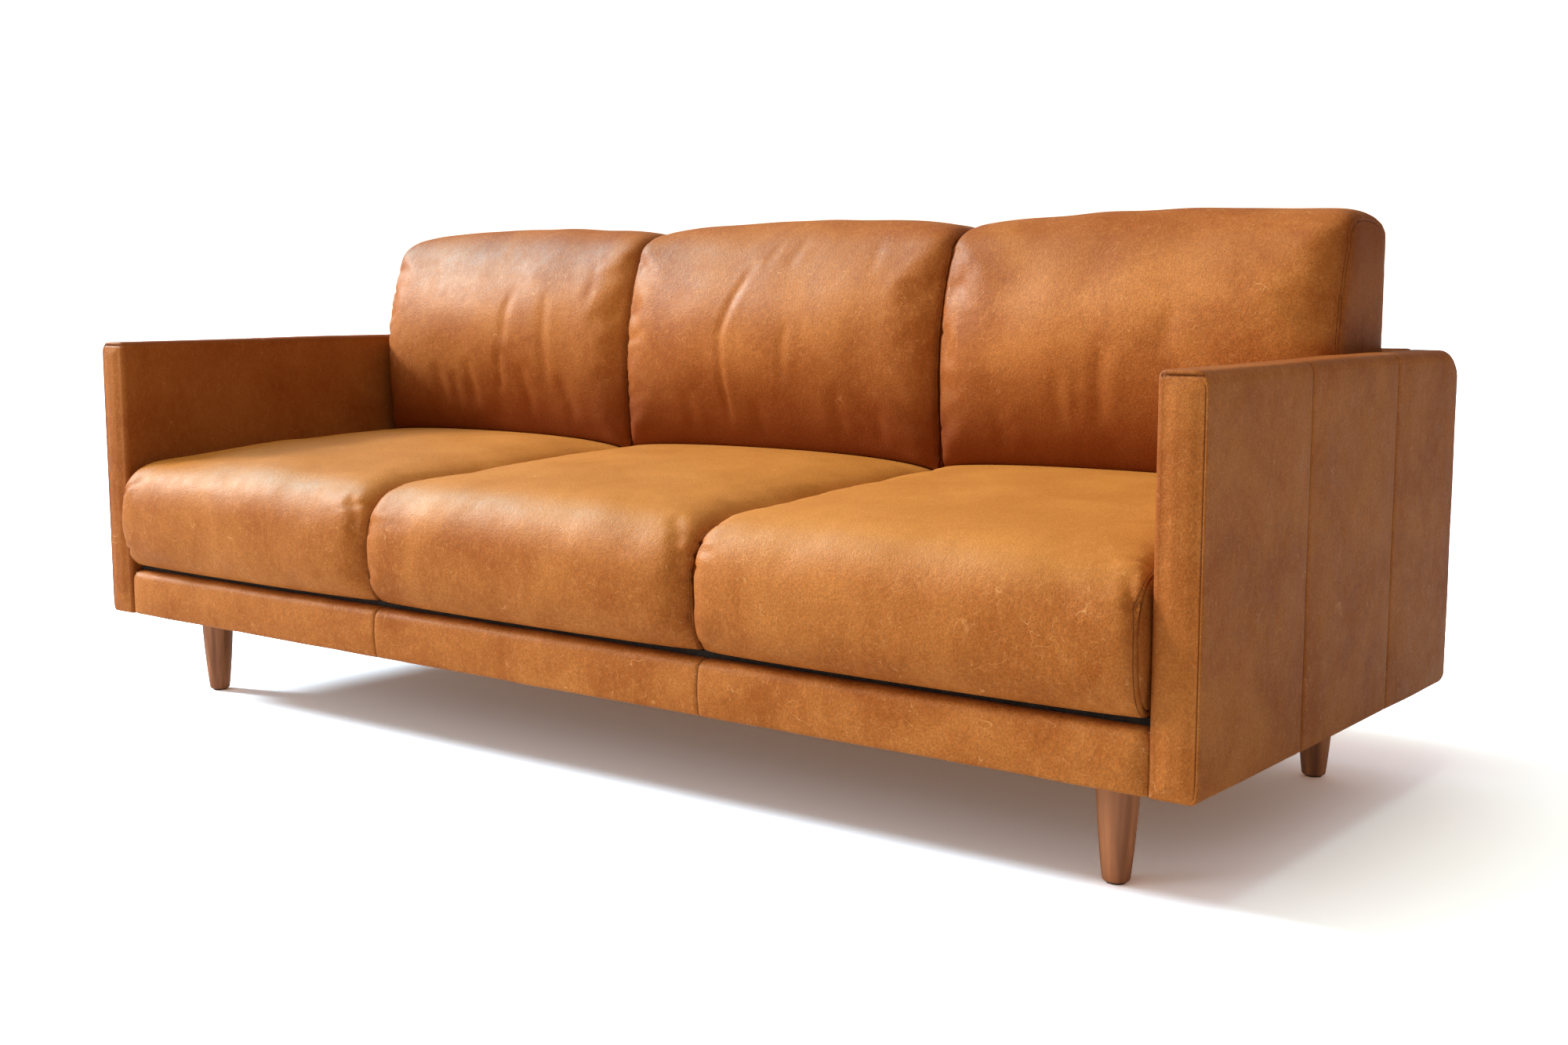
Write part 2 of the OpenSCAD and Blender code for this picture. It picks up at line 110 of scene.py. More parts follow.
def end_rings(ring, axis, depths, lift):
    """Rings that close an end. Each moves inwards by a depth, and along the axis by lift(depth, ring)."""
    plane = [k for k in range(3) if k != axis]
    low, high = ring[:, plane].min(0), ring[:, plane].max(0)
    half = (high - low).min() / 2
    core = np.clip(ring[:, plane], low + half, high - half)
    inward = core - ring[:, plane]
    made = []
    for depth in depths:
        new = ring.copy()
        new[:, plane] += inward * min(depth / half, 0.97)
        new[:, axis] += lift(depth, ring)
        made.append(new)
    return made


def ring_normals(rings):
    along = np.gradient(rings, axis=0)
    wrapped = np.concatenate([rings[:, -1:], rings, rings[:, :1]], axis=1)
    around = (wrapped[:, 2:] - wrapped[:, :-2]) / 2
    normal = np.cross(around, along)
    normal /= np.maximum(np.linalg.norm(normal, axis=2, keepdims=True), 1e-12)
    middle = rings.reshape(-1, 3).mean(0)
    if ((rings - middle) * normal).sum() < 0:
        normal = -normal
    return normal


def closed_mesh(name, rings):
    """A closed mesh of quads through the rings, with one face over each end."""
    count, points = rings.shape[:2]
    index = np.arange(count * points).reshape(count, points)
    following = np.roll(index, -1, axis=1)
    quads = np.stack([index[:-1], following[:-1], following[1:], index[1:]], axis=-1).reshape(-1, 4)
    faces = quads.tolist() + [index[0][::-1].tolist(), index[-1].tolist()]
    mesh = bpy.data.meshes.new(name)
    mesh.from_pydata(rings.reshape(-1, 3).tolist(), [], faces)
    mesh.update()
    if signed_volume(mesh) < 0:
        mesh.flip_normals()
    mesh.shade_smooth()
    piece = bpy.data.objects.new(name, mesh)
    bpy.context.scene.collection.objects.link(piece)
    return piece


def skin(name, rings, seams, painted_light_shade):
    """The finished mesh of a piece, with what the leather reads from it.

    seams is 1 on a seam. The last argument is 1 where light is painted on the leather and -1 where shade is
    painted on it.
    """
    piece = closed_mesh(name, rings)
    piece.data.attributes.new("seam", "FLOAT", "POINT").data.foreach_set("value", seams.ravel())
    piece.data.attributes.new("painted_light_shade", "FLOAT", "POINT").data.foreach_set("value", painted_light_shade.ravel())
    return piece


def signed_volume(mesh):
    mesh.calc_loop_triangles()
    corners = np.empty(len(mesh.loop_triangles) * 3, int)
    mesh.loop_triangles.foreach_get("vertices", corners)
    points = np.empty(len(mesh.vertices) * 3)
    mesh.vertices.foreach_get("co", points)
    a, b, c = points.reshape(-1, 3)[corners.reshape(-1, 3)].transpose(1, 0, 2)
    return float((np.cross(a, b) * c).sum())


def ripple(points, wavelength, seed):
    """Smooth noise of about unit height, the same each run."""
    draw = np.random.default_rng(seed)
    total = np.zeros(points.shape[:-1])
    for _ in range(9):
        direction = draw.normal(size=3)
        direction *= 2 * math.pi / (wavelength * draw.uniform(0.7, 1.5) * np.linalg.norm(direction))
        total += np.sin(points @ direction + draw.uniform(0, 2 * math.pi))
    return total / 3


def fold(rings, normals, path, width, depth, ridge):
    """A soft crease along a path of (x, z) points in mm, in the faces towards the front.

    ridge is the height of the swelling on its right, as a share of its depth.
    """
    path = np.array(path, float) * MM
    x, z = rings[..., 0], rings[..., 2]
    best = np.full(x.shape, np.inf)
    offset = np.zeros(x.shape)
    travel = np.zeros(x.shape)
    lengths = np.linalg.norm(np.diff(path, axis=0), axis=1)
    run = np.concatenate([[0], np.cumsum(lengths)])
    for k, (a, b) in enumerate(zip(path[:-1], path[1:])):
        d = (b - a) / lengths[k]
        t = np.clip((x - a[0]) * d[0] + (z - a[1]) * d[1], 0, lengths[k])
        px, pz = x - a[0] - t * d[0], z - a[1] - t * d[1]
        gap = np.hypot(px, pz)
        closer = gap < best
        best = np.where(closer, gap, best)
        side = np.sign(px * -d[1] + pz * d[0])
        offset = np.where(closer, gap * side, offset)
        travel = np.where(closer, (run[k] + t) / run[-1], travel)
    q = offset / (width * MM)
    taper = smooth_step(travel / 0.3) * smooth_step((1 - travel) / 0.3)
    facing = smooth_step((-normals[..., 1] - 0.1) / 0.3)
    shape = -np.exp(-q * q) + ridge * np.exp(-((q - 1.8) ** 2) / 2)
    rings += normals * (depth * MM * shape * taper * facing)[..., None]


# ---------- seat cushions ----------

BOTTOM_RUN, LOWER_RUN, NOSE_RUN, TOP_RUN, REST_RUN, REAR_RUN = 42, 16, 24, 64, 18, 16
SEAT_POWER = 2.3
BACK_POWER = 2.0
CLEAR = 0.8 * MM
REST_START = BOTTOM_RUN + LOWER_RUN + NOSE_RUN - 1 + TOP_RUN - 1
REST_END = REST_START + REST_RUN - 1


NOSE_WIDEST = 98 * MM
NOSE_DEEP = 88 * MM
NOSE_HIGH = 184 * MM
REST_HIGH = 240 * MM
CORNER = 6 * MM


def seat_section(place):
    """Section of a seat cushion in (y, z), at a place from -1 to 1 across its bay.

    crown is 0 at its sides and 1 in its middle. rest is the strip that lies under the back cushion.
    """
    crown = crown_share(place, SEAT_POWER)
    low, rear = seat_low.z, seat_high.y
    rest_y = cushion_low.y
    front = seat_low.y + (4 - 12 * crown) * MM
    widest = low + NOSE_WIDEST
    nose_y = seat_low.y + NOSE_DEEP
    nose_top = low + NOSE_HIGH + 19 * MM * crown
    fall = 32 if place > 0 else 20
    rest_top = low + REST_HIGH - fall * MM * (1 - crown)
    bottom = [(y, low) for y in np.linspace(rear - CORNER, nose_y + CORNER, BOTTOM_RUN)]
    out, down = quarter(3.0, LOWER_RUN)
    lower_y = nose_y - out[::-1] * (nose_y - front)
    hang = smooth_step((rail_high.y - 12 * MM - lower_y) / (30 * MM)) * (5.5 + 2.2 * crown) * MM
    lower = list(zip(lower_y, widest - down[::-1] * (widest - low + hang)))
    out, up = quarter(2.5, NOSE_RUN)
    nose = nose_y - out[1:] * (nose_y - front)
    rise = up[1:] * (nose_top - widest)
    y = np.concatenate([nose, np.linspace(nose_y, rest_y, TOP_RUN + 1)[1:]])
    z = widest + np.concatenate([rise, np.full(TOP_RUN, nose_top - widest)])
    s = (y - front) / (rest_y - front)
    domed = 1 - (1 - np.minimum(s / 0.8, 1)) ** 2
    z += (rest_top - nose_top) * (s * (1 - crown) + domed * crown)
    run = np.linspace(0, 1, REST_RUN)[1:]
    sunk = z[-1] - 4 * MM * smooth_step(run * 5) - run * 14 * MM
    rest = list(zip(rest_y + run * (rear - CORNER - rest_y), sunk))
    back = [(rear, v) for v in np.linspace(rest[-1][1] - CORNER, low + CORNER, REAR_RUN)]
    return np.array(bottom + lower + list(zip(y, z)) + rest + back)


def inset(outline, ahead_depth, top_depth):
    """The outline moved inwards at its front and top, but not below.

    It runs clockwise, as all sections here do.
    """
    ahead = np.roll(outline, -1, axis=0) - np.roll(outline, 1, axis=0)
    ahead /= np.linalg.norm(ahead, axis=1, keepdims=True)
    facing = np.clip(ahead, 0, 1) ** 2
    distance = facing[:, 1] * ahead_depth + facing[:, 0] * top_depth
    return outline + np.column_stack([ahead[:, 1], -ahead[:, 0]]) * distance[:, None]


def crown_share(t, power):
    return (1 - np.abs(np.clip(t, -1, 1)) ** power) ** (1 / power)


SHOULDER = np.array([0, 0.6, 1.5, 3, 5, 8, 12, 17, 23, 30, 38]) * MM
SEAM_DIP = 6 * MM


def wrapped_edge(distance, reach, depth):
    """How far a panel stands back at this distance from the seam where it turns onto the side."""
    share = 1 - np.clip(distance / reach, 0, 1)
    return depth * (1 - math.sqrt(1 - min(share, 0.985) ** 2))


class End:
    """How one end of a cushion is shaped, in mm.

    trim is its distance from the end of its bay. reach and depth say how far its front and top turn in.
    """

    def __init__(self, trim, front_reach, front_depth, top_reach, top_depth):
        self.trim = trim * MM
        self.front = (front_reach * MM, front_depth * MM)
        self.top = (top_reach * MM, top_depth * MM)


def across(half):
    """Places across a cushion, closer together at its seams."""
    inner = spaced(-half + SHOULDER[-1], half - SHOULDER[-1], 7 * MM)[1:-1]
    return np.concatenate([-half + SHOULDER, inner, half - SHOULDER[::-1]])


def side_panel_lift(sign):
    """How far a boxing panel stands out beyond its seam: a narrow welt, a stitched line and a flat field."""
    depths = np.array([0, 1.2, 2.6, 5, 7.4, 8.4, 9.4, 12, 20, 32, 50, 200]) * MM
    lifts = np.array([-0.6, 1.0, 2.0, 2.6, 2.2, 1.0, 2.6, 3.8, 5.2, 6.3, 6.8, 6.9]) * MM
    return lambda depth, ring: sign * np.interp(depth, depths, lifts)


PANEL_DEPTHS = np.array([1.2, 2.6, 4.5, 6.5, 7.6, 8.4, 9.2, 10.5, 14, 20, 30, 44, 62, 84, 104]) * MM


def cushion_rings(section, centre_x, ends, top_until):
    """Rings of a boxed cushion: a panel wrapped round the section, and a boxing panel on each side.

    section(t, place) gives the outline for t from -1 to 1 across the cushion, and for its place in the bay.
    The top turns in towards the ends only where y is under top_until.
    """
    half = half_cushion
    places = across(half - SEAM_DIP)
    wrap = []
    for x in places:
        end = ends[int(x > 0)]
        moved = x * (1 - end.trim / half)
        outline = section(x / half, moved / half)
        from_end = places[-1] - abs(x)
        top = wrapped_edge(from_end, *end.top) * smooth_step((top_until - outline[:, 0]) / (40 * MM))
        outline = inset(outline, wrapped_edge(from_end, *end.front), top)
        wrap.append(np.column_stack([np.full(len(outline), moved), outline]))
    left = end_rings(wrap[0], 0, PANEL_DEPTHS, side_panel_lift(-1))[::-1]
    right = end_rings(wrap[-1], 0, PANEL_DEPTHS, side_panel_lift(1))
    rings = np.array(left + wrap + right)
    rings[..., 0] += centre_x
    return rings


def from_ends(rings):
    """Distance from the nearer end of a cushion."""
    x = rings[..., 0]
    return np.minimum(x - x.min(), x.max() - x)


def panel_seams(rings):
    """1 on the two seams of each side of a boxed cushion: the join, and the stitched line of the boxing."""
    seams = np.zeros(rings.shape[:2])
    join = len(PANEL_DEPTHS)
    stitch = int(np.argmin(np.abs(PANEL_DEPTHS - 8.4 * MM)))
    for k in (join, -join - 1):
        seams[k] = 1
    for k in (join - 1 - stitch, -join + stitch):
        seams[k] = 0.8
    return seams


def gathers(rings, seed, count, weight, height):
    """Short creases that run from the seams into the panel.

    weight(y, z) from 0 to 1 says where they are strongest.
    """
    normals = ring_normals(rings)
    draw = np.random.default_rng(seed)
    join = len(PANEL_DEPTHS)
    edge = rings[join][:, 1:].copy()
    run = np.concatenate([[0], np.cumsum(np.linalg.norm(np.diff(edge, axis=0), axis=1))])
    for side, seam_x in ((-1, rings[join, 0, 0]), (1, rings[-join - 1, 0, 0])):
        inwards = side * (seam_x - rings[..., 0])
        close = (inwards < 90 * MM) * (inwards > -3 * MM)
        for _ in range(count):
            place = draw.uniform(0, run[-1])
            y, z = edge[np.searchsorted(run, place)]
            length, width = draw.uniform(9, 34) * MM, draw.uniform(3.5, 6.5) * MM
            tilt, depth = draw.uniform(-0.5, 0.5), draw.uniform(0.4, 1) * height * weight(y, z)
            across_fold = (run[None, :] - place - tilt * inwards) / width
            reach = np.exp(-np.maximum(inwards, 0) / length) * close
            rings -= normals * (np.exp(-across_fold ** 2) * reach * depth)[..., None]


# ---------- cloth simulation ----------

VOXEL = 10 * MM
FRAMES = 20
PRESSURE = 1.6
EXTRA_CLOTH = -0.04
WRINKLE_SHARE = 0.7


def cloth_copy(rings):
    """A coarse copy of a cushion as cloth under pressure, cut a little large so that it gathers."""
    trial = closed_mesh("trial", rings)
    remesh = trial.modifiers.new("remesh", "REMESH")
    remesh.mode = "VOXEL"
    remesh.voxel_size = VOXEL
    mesh = bpy.data.meshes.new_from_object(trial.evaluated_get(bpy.context.evaluated_depsgraph_get()))
    trial.modifiers.clear()
    trial.data = mesh
    cloth = trial.modifiers.new("cloth", "CLOTH")
    cloth.settings.use_pressure = True
    cloth.settings.uniform_pressure_force = PRESSURE
    cloth.settings.shrink_min = EXTRA_CLOTH
    cloth.settings.effector_weights.gravity = 0
    cloth.collision_settings.use_collision = False
    cloth.point_cache.frame_start, cloth.point_cache.frame_end = 1, FRAMES
    return trial


def vertex_places(mesh):
    places = np.empty(len(mesh.vertices) * 3)
    mesh.vertices.foreach_get("co", places)
    return places.reshape(-1, 3)


def evened(mesh, values, passes):
    """Values averaged with those of their neighbours, pass after pass."""
    edges = np.empty(len(mesh.edges) * 2, int)
    mesh.edges.foreach_get("vertices", edges)
    a, b = edges.reshape(-1, 2).T
    count = len(mesh.vertices)
    share = np.bincount(a, minlength=count) + np.bincount(b, minlength=count)
    for _ in range(passes):
        total = [np.bincount(a, values[b, k], count) + np.bincount(b, values[a, k], count) for k in range(3)]
        values = (values + np.stack(total, axis=1) / share[:, None]) / 2
    return values


def settle(rings, free):
    """Lets the cover settle by cloth simulation, and moves the rings with its wrinkles.

    free(rings) is 1 where the cover may move and 0 where it is held against a neighbour.
    """
    trial = cloth_copy(rings)
    scene = bpy.context.scene
    scene.frame_start, scene.frame_end = 1, FRAMES
    for number in range(1, FRAMES + 1):
        scene.frame_set(number)
    before = vertex_places(trial.data)
    settled = trial.evaluated_get(bpy.context.evaluated_depsgraph_get())
    move = vertex_places(settled.to_mesh()) - before
    settled.to_mesh_clear()
    move = capped(move, 26 * MM)
    broad = evened(trial.data, move, 90)
    move = capped((move - broad) * WRINKLE_SHARE + broad * 0.1, 8 * MM)
    tree = KDTree(len(before))
    for k, place in enumerate(before):
        tree.insert(place, k)
    tree.balance()
    flat = rings.reshape(-1, 3)
    carried = np.zeros_like(flat)
    for k, place in enumerate(flat):
        near = tree.find_n(place, 5)
        weight = np.array([1 / (gap + 2 * MM) for _, _, gap in near])
        carried[k] = (move[[index for _, index, _ in near]] * weight[:, None]).sum(0) / weight.sum()
    rings += carried.reshape(rings.shape) * free(rings)[..., None]
    bpy.data.objects.remove(trial)
    scene.frame_set(1)


def capped(move, most):
    length = np.linalg.norm(move, axis=1, keepdims=True)
    return move * np.minimum(1, most / np.maximum(length, 1e-9))


def hold_inside(rings, axis, low, high):
    rings[..., axis] = np.clip(rings[..., axis], low, high)


# What multiplies the depths of the creases below
SEAT_FOLD = 1.4
BACK_FOLD = 1.2

# Creases of the seat cushions, in mm: a path of (x, z) with x from the cushion's middle, a width and a depth
SEAT_CREASES = {
    "left": [
        ([(296, 436), (322, 412), (346, 378)], 8, 3.2),
        ([(322, 388), (340, 362), (352, 340)], 6, 2.8),
    ],
    "centre": [
        ([(288, 450), (318, 430), (342, 406)], 7, 3.0),
        ([(306, 424), (330, 404), (350, 380)], 6, 2.8),
        ([(322, 392), (340, 370), (352, 346)], 6, 2.8),
    ],
    "right": [
        ([(322, 440), (338, 412), (348, 372)], 8, 3.2),
        ([(-352, 400), (-334, 406), (-306, 402)], 6, 2.0),
    ],
}


def seat_strain(y, z):
    """Seat covers gather most round the front corners."""
    return 0.25 + 0.75 * float(y < seat_low.y + 75 * MM and z > seat_low.z + 30 * MM)


def seat_shown(rings):
    """1 on the front and top of a seat cushion, and 0 where it rests on the deck or lies under the back."""
    above = smooth_step((rings[..., 2] - seat_low.z - 6 * MM) / (30 * MM))
    return above * smooth_step((cushion_low.y - 30 * MM - rings[..., 1]) / (60 * MM))


def back_shown(rings):
    """1 on the faces of a back cushion that are seen, and 0 at its rear and where it rests on the seat."""
    ahead = smooth_step((cushion_high.y - 8 * MM - rings[..., 1]) / (40 * MM))
    return ahead * smooth_step((rings[..., 2] - seat_high.z - 12 * MM) / (30 * MM))


def seat_free(rings):
    """How freely the cover of a seat cushion wrinkles: most near its ends, since its top is stretched."""
    return seat_shown(rings) * (0.16 + 0.84 * np.exp(-from_ends(rings) / (45 * MM)))


def back_free(rings):
    """The same for a back cushion, whose top edge is stretched smooth as well."""
    top = smooth_step((cushion_high.z - 15 * MM - rings[..., 2]) / (50 * MM))
    ends = smooth_step((from_ends(rings) - 4 * MM) / (20 * MM))
    return back_shown(rings) * (0.4 + 0.6 * np.exp(-from_ends(rings) / (70 * MM))) * top * ends


SEAT_ENDS = {
    "left": (End(2, 24, 9, 26, 9), End(0, 54, 20, 62, 20)),
    "centre": (End(0, 34, 13, 34, 11), End(0, 54, 20, 62, 20)),
    "right": (End(0, 32, 13, 30, 11), End(4, 16, 5, 26, 9)),
}
BACK_ENDS = {
    "left": (End(17, 24, 9, 20, 5), End(0, 44, 20, 30, 9)),
    "centre": (End(0, 26, 10, 22, 6), End(0, 44, 20, 30, 9)),
    "right": (End(0, 26, 10, 22, 6), End(27, 62, 40, 34, 10)),
}


TOP_DROPS = {"left": (24, 24), "centre": (24, 24), "right": (24, 11)}


def seat_painted_light_shade(rings):
    """Painted light and shade on a seat cushion: painted light of 1 on its top, falling to 0 on its front,
    and painted shade at its ends, in the gaps.
    """
    top = smooth_step((rings[..., 2] - seat_low.z - 130 * MM) / (80 * MM))
    return top - (0.5 + top) * np.exp(-from_ends(rings) / (14 * MM))


def back_painted_shade(rings):
    """Painted shade on a back cushion: darkest in the corner over the seat, and less so at its top and ends.
    """
    low = 1 - smooth_step((rings[..., 2] - seat_high.z + 5 * MM) / (215 * MM))
    top = smooth_step((rings[..., 2] - cushion_high.z + 150 * MM) / (120 * MM))
    return -low - 0.38 * top - 0.5 * np.exp(-from_ends(rings) / (16 * MM))


def seat_cushion(side):
    centre_x = BAYS[side] * pitch
    section = lambda t, place: seat_section(place)
    rings = cushion_rings(section, centre_x, SEAT_ENDS[side], cushion_low.y)
    normals = ring_normals(rings)
    rings += normals * (ripple(rings, 190 * MM, 11 + BAYS[side]) * 1.3 * MM * seat_shown(rings))[..., None]
    settle(rings, seat_free)
    gathers(rings, 21 + BAYS[side], 70, seat_strain, 5.6 * MM)
    normals = ring_normals(rings)
    for path, width, depth in SEAT_CREASES[side]:
        fold(rings, normals, [(x + centre_x / MM, z) for x, z in path], width, depth * SEAT_FOLD, 0.3)
    hold_inside(rings, 0, centre_x - half_cushion, centre_x + half_cushion)
    hold_inside(rings, 2, seat_low.z - 8 * MM, 1)
    hold_inside(rings, 1, -1, seat_high.y)
    # The seat's painted light and shade go to the leather with its seams.
    piece = skin(f"seat_cushion_{side}", rings, panel_seams(rings), seat_painted_light_shade(rings))
    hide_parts(f"seat_cover_{side}", f"seat_core_{side}")
    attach(piece, f"seat_cushion_{side}")
    return piece


# ---------- back cushions ----------

def skewed(points, start_z, slope):
    """Leans a quarter round so that it leaves a sloping face without a break."""
    return [(y + slope * (z - start_z) * share, z) for y, z, share in points]


def back_section(t, place, drop):
    """Section of a back cushion in (y, z), for t from -1 to 1 across it.

    Its foot follows the seat below it. drop holds how far its top falls in mm at its left and right ends.
    """
    crown = crown_share(t, BACK_POWER)
    rear = cushion_high.y
    rest = seat_section(place)[REST_START:REST_END + 1]
    top = cushion_high.z - drop[int(t > 0)] * (1 - crown) * MM
    front_y0 = cushion_low.y + (1 - 6 * crown) * MM
    lean = (30 + 16 * crown) * MM
    bulge = (6 + 24 * crown) * MM
    heel_r = (18 + 14 * crown) * MM
    heel_h = (24 + 40 * crown) * MM
    brow_h = (40 + 14 * crown) * MM
    foot_front = np.interp(front_y0 - bulge * 0.2 + heel_r, rest[:, 0], rest[:, 1]) + CLEAR
    heel_z, shoulder_z = foot_front + heel_h, top - brow_h
    t = np.linspace(0, 1, 48)
    z = heel_z + t * (shoulder_z - heel_z)
    y = front_y0 + lean * t ** 3 - bulge * np.sin(math.pi * t)
    slope_low = (y[1] - y[0]) / (z[1] - z[0])
    slope_high = (y[-1] - y[-2]) / (z[-1] - z[-2])
    foot_y = y[0] + heel_r
    foot_run = np.linspace(rear - 6 * MM, foot_y + 4 * MM, 18)
    foot = list(zip(foot_run, np.interp(foot_run, rest[:, 0], rest[:, 1]) + CLEAR))
    out, down = quarter(2.2, 10)
    heel = [(foot_y - u * heel_r, heel_z - v * heel_h, u) for u, v in zip(out[::-1], down[::-1])]
    heel = skewed(heel, heel_z, slope_low)
    middle = (y[-1] + rear) / 2
    a = (rear - y[-1]) / 2
    out, up = quarter(2.5, 22)
    brow = [(middle - u * a, shoulder_z + v * brow_h, u) for u, v in zip(out[1:], up[1:])]
    brow = skewed(brow, shoulder_z, slope_high)
    nape = [(middle + u * a, shoulder_z + v * brow_h) for u, v in zip(out[::-1][1:], up[::-1][1:])]
    back = [(rear, v) for v in np.linspace(shoulder_z, foot[0][1] + 6 * MM, 30)[1:]]
    return np.array(foot + heel + list(zip(y[1:], z[1:])) + brow + nape + back)


# Folds of the back cushions, given as those of the seats
BACK_FOLDS = {
    "left": [
        ([(60, 790), (50, 740), (50, 690), (40, 660)], 12, 2.6),
        ([(44, 672), (34, 640), (28, 600), (20, 560)], 11, 3.0),
        ([(150, 790), (158, 720), (162, 640), (166, 560)], 12, 2.2),
        ([(262, 850), (266, 800), (270, 740)], 13, 1.4),
        ([(-62, 650), (-58, 600), (-60, 530)], 15, 2.8),
        ([(-158, 640), (-156, 580), (-160, 515)], 17, 2.8),
        ([(-108, 620), (-110, 570), (-116, 520)], 12, 1.6),
        ([(95, 640), (100, 580), (104, 520)], 14, 2.4),
        ([(195, 620), (215, 560), (226, 510)], 16, 2.6),
    ],
    "centre": [
        ([(-44, 840), (-62, 800), (-82, 750), (-98, 700), (-99, 640)], 9, 2.6),
        ([(-98, 690), (-97, 620), (-94, 560), (-92, 520)], 8, 2.6),
        ([(-8, 868), (-20, 838), (-30, 815)], 10, 1.2),
        ([(46, 876), (36, 845), (26, 810)], 11, 1.2),
        ([(56, 730), (50, 690), (45, 645), (50, 600)], 10, 1.8),
        ([(212, 872), (212, 835), (208, 800)], 12, 1.0),
        ([(160, 620), (158, 560), (162, 510)], 16, 2.2),
        ([(240, 580), (244, 540), (246, 500)], 14, 2.0),
        ([(-190, 600), (-186, 550), (-190, 505)], 16, 1.8),
        ([(-30, 590), (-26, 550), (-28, 510)], 14, 1.8),
    ],
    "right": [
        ([(80, 760), (79, 715), (70, 670)], 18, 1.8),
        ([(-28, 710), (-36, 650), (-40, 600), (-52, 545)], 15, 2.8),
        ([(-112, 660), (-114, 600), (-108, 545)], 14, 1.8),
        ([(-76, 650), (-78, 600), (-84, 560)], 10, 1.2),
        ([(140, 660), (146, 600), (150, 540)], 18, 1.8),
        ([(-230, 600), (-226, 550), (-230, 510)], 18, 1.6),
    ],
}


def back_strain(y, z):
    """Back covers gather all along their front seams."""
    return 0.3 + 0.7 * float(y < cushion_high.y - 60 * MM)


def back_cushion(side):
    centre_x = BAYS[side] * pitch
    drop = TOP_DROPS[side]
    section = lambda t, place: back_section(t, place, drop)
    rings = cushion_rings(section, centre_x, BACK_ENDS[side], 1)
    normals = ring_normals(rings)
    waves = ripple(rings * np.array([1, 1, 0.5]), 150 * MM, 31 + BAYS[side])
    rings += normals * (waves * 1.0 * MM * back_shown(rings))[..., None]
    settle(rings, back_free)
    gathers(rings, 41 + BAYS[side], 60, back_strain, 1.8 * MM)
    normals = ring_normals(rings)
    for path, width, depth in BACK_FOLDS[side]:
        fold(rings, normals, [(x + centre_x / MM, z) for x, z in path], width, depth * BACK_FOLD, 0.2)
    hold_inside(rings, 0, centre_x - half_cushion, centre_x + half_cushion)
    hold_inside(rings, 1, -1, cushion_high.y)
    # The back cushion's painted shade goes to the leather with its seams.
    piece = skin(f"back_cushion_{side}", rings, panel_seams(rings), back_painted_shade(rings))
    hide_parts(f"back_cover_{side}", f"back_fill_{side}")
    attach(piece, f"back_cushion_{side}")
    return piece


# ---------- arms ----------

ARM_SEAMS = (-120 * MM, 203 * MM)
TOP_FALL = 3 * MM
FRONT_TOP_R = 4 * MM
SEAM_DEPTH = 2.2 * MM


def eased(distance, radius):
    """How far an outline stands back at this distance from an end that is rounded with this radius."""
    d = np.clip(distance, 0, radius)
    return radius - math.sqrt(max(radius ** 2 - (radius - d) ** 2, 0))


def rounded_loop(x0, x1, z0, z1, radii, sides):
    """Rounded rectangle in (x, z) from the low inner corner, up the inner side and down the outer one.

    sides gives the shares of each straight side at which it has a point.
    """
    corners = [(x0, z0, 1, 1), (x0, z1, 1, -1), (x1, z1, -1, -1), (x1, z0, -1, 1)]
    arcs = []
    for (x, z, sx, sz), r, start in zip(corners, radii, (270, 180, 90, 0)):
        angle = np.radians(np.linspace(start, start - 90, 7))
        centre = np.array([x + sx * r, z + sz * r])
        arcs.append(centre + r * np.column_stack([np.cos(angle), np.sin(angle)]))
    points = []
    for arc, following, shares in zip(arcs, arcs[1:] + arcs[:1], sides):
        points += list(arc) + [arc[-1] + (following[0] - arc[-1]) * s for s in shares]
    return np.array(points)


def shares(count, dense=1.0):
    """Inner shares of a side, crowded towards its start when dense is over 1."""
    return np.linspace(0, 1, count + 2)[1:-1] ** dense


def valley(distance, width):
    """1 on a seam, falling to 0 beside it."""
    return np.exp(-(np.abs(distance) / width) ** 1.3)


def arm_ring(y):
    to_rear = rear_y - y
    to_front = y - front_y
    top = arm_z - TOP_FALL + 4 * MM * smooth_step((y - front_y) / 0.6)
    top -= eased(to_rear, REAR_TOP_R) + eased(to_front, FRONT_TOP_R)
    bottom = base_z + eased(to_rear, REAR_FOOT_R) + eased(to_front, 3 * MM)
    x1 = outer_x - eased(to_rear, 9 * MM) - eased(to_front, 2 * MM)
    x0 = inner_x + eased(to_rear, 4 * MM) + eased(to_front, 8 * MM)
    sides = (1 - shares(56, 1.5)[::-1], shares(5), shares(64, 1.5), shares(5))
    loop = rounded_loop(x0, x1, bottom, top, (4 * MM, 10 * MM, 16 * MM, 8 * MM), sides)
    ring = np.column_stack([loop[:, 0], np.full(len(loop), y), loop[:, 1]])
    seam = max(valley(y - s, 3.2 * MM) for s in ARM_SEAMS)
    nearest = min(abs(y - s) for s in ARM_SEAMS)
    outside = smooth_step((ring[:, 0] - outer_x + 24 * MM) / (10 * MM))
    puff = 1.6 * MM * smooth_step(nearest / (60 * MM)) * smooth_step(to_rear / (60 * MM))
    upright = smooth_step((ring[:, 2] - bottom) / (30 * MM)) * smooth_step((top - ring[:, 2]) / (30 * MM))
    ring[:, 0] += outside * (puff * upright - SEAM_DEPTH * seam)
    on_top = smooth_step((ring[:, 2] - top + 14 * MM) / (12 * MM))
    ring[:, 2] -= on_top * (1 - outside) * SEAM_DEPTH * seam * 0.6
    return ring


SLIT_Z = arm_z - TOP_FALL - FRONT_TOP_R - 2.5 * MM
FRONT_SEAM = 0.8 * MM


def slit(rings):
    """1 in the tuck across the front of an arm, just under its top."""
    facing = smooth_step((front_y + 2.5 * MM - rings[..., 1]) / (1.5 * MM))
    return valley(rings[..., 2] - SLIT_Z, 1.4 * MM) * facing


